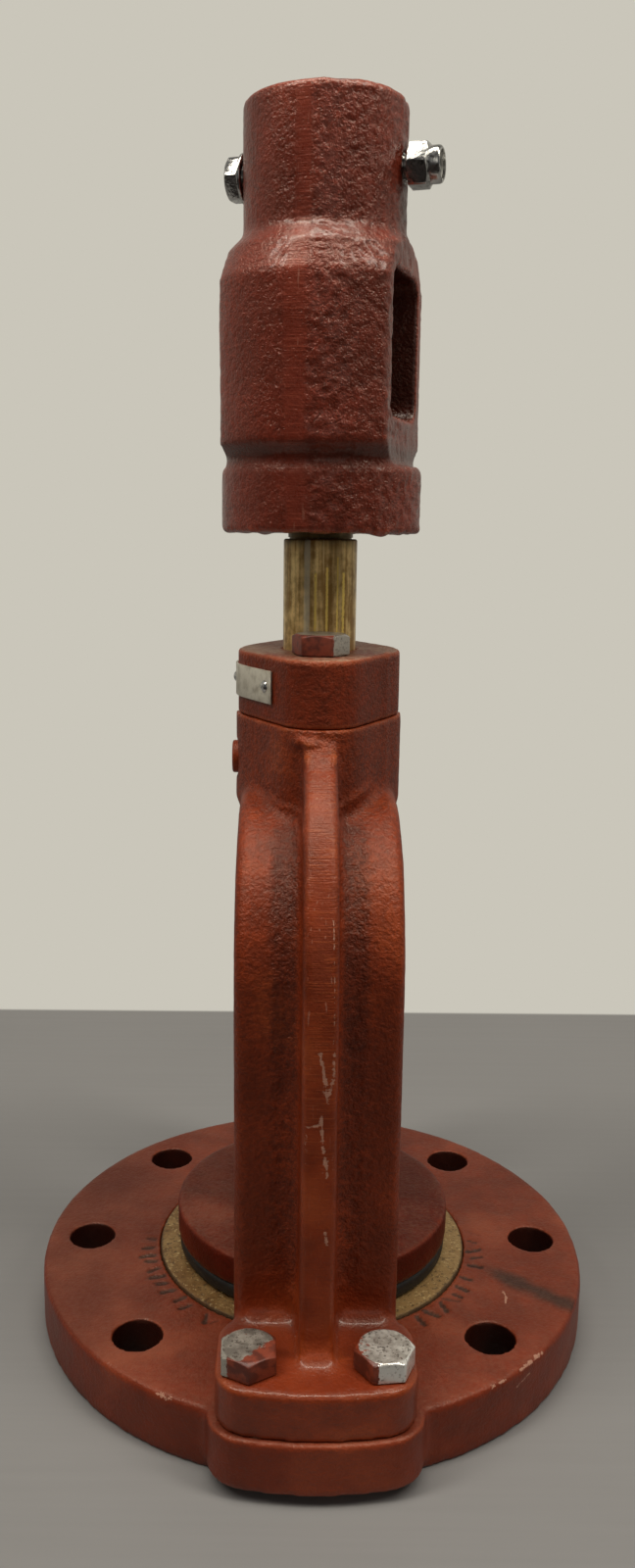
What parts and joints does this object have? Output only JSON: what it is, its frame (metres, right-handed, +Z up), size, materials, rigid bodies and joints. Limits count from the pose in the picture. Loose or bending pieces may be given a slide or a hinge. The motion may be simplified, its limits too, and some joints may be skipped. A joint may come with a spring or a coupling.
{
  "type": "mud valve",
  "caption": "Flanged floor valve with a yoke over a rubber-faced disc on a bronze seat, and a turning stem with a cast coupling for an extension rod.",
  "frame": {"origin": "centre of the flange's underside, on the stem's axis", "axes": "+Z up the stem, +X towards a flange hole, the yoke's legs on -Y and +Y"},
  "size_m": [0.2286, 0.2514, 0.4753],
  "materials": {
    "red_oxide_casting": "matt red-oxide primer over cast iron",
    "coupling_paint": "matt maroon primer over rough cast iron",
    "bronze": "turned bronze, dull",
    "seat_bronze": "rough bronze",
    "zinc_steel": "zinc plated, with specks of red primer",
    "painted_bolt": "red primer worn to bare steel on the edges",
    "nameplate_aluminium": "bare stamped strip",
    "rubber": "black moulded rubber",
    "plastic_ring": "natural nylon"
  },
  "bodies": {
    "valve_body": {"flange": "red_oxide_casting", "seat_ring": "seat_bronze", "yoke": "red_oxide_casting", "thrust_cap": "red_oxide_casting", "foot_bolt_1": "zinc_steel", "foot_bolt_2": "zinc_steel", "foot_bolt_3": "zinc_steel", "foot_bolt_4": "zinc_steel", "cap_bolt_front": "painted_bolt", "cap_bolt_rear": "painted_bolt", "nameplate": "nameplate_aluminium", "nameplate_pin_front": "nameplate_aluminium", "nameplate_pin_rear": "nameplate_aluminium", "grease_plug": "red_oxide_casting"},
    "stem": {"stem": "bronze", "coupling": "coupling_paint", "stem_washer": "zinc_steel", "stem_nut": "bronze", "cross_bolt": "zinc_steel", "cross_bolt_washer": "zinc_steel", "lock_nut": "zinc_steel", "lock_nut_insert": "plastic_ring"},
    "disc": {"disc": "red_oxide_casting", "disc_nut": "bronze", "disc_seal": "rubber", "seal_retainer": "seat_bronze", "seal_screw_1": "bronze", "seal_screw_2": "bronze", "seal_screw_3": "bronze", "seal_screw_4": "bronze"}
  },
  "joints": [
    {"name": "stem_turn", "type": "hinge", "parent": "valve_body", "child": "stem", "pos_m": [0, 0, 0], "axis": [0, 0, 1], "range_deg": [0, 2520]},
    {"name": "disc_lift", "type": "slide", "parent": "valve_body", "child": "disc", "axis": [0, 0, 1], "range_m": [0, 0.04445]}
  ],
  "couplings": [
    {"joint": "disc_lift", "follows": "stem_turn", "m_per_rad": 0.0010105}
  ]
}
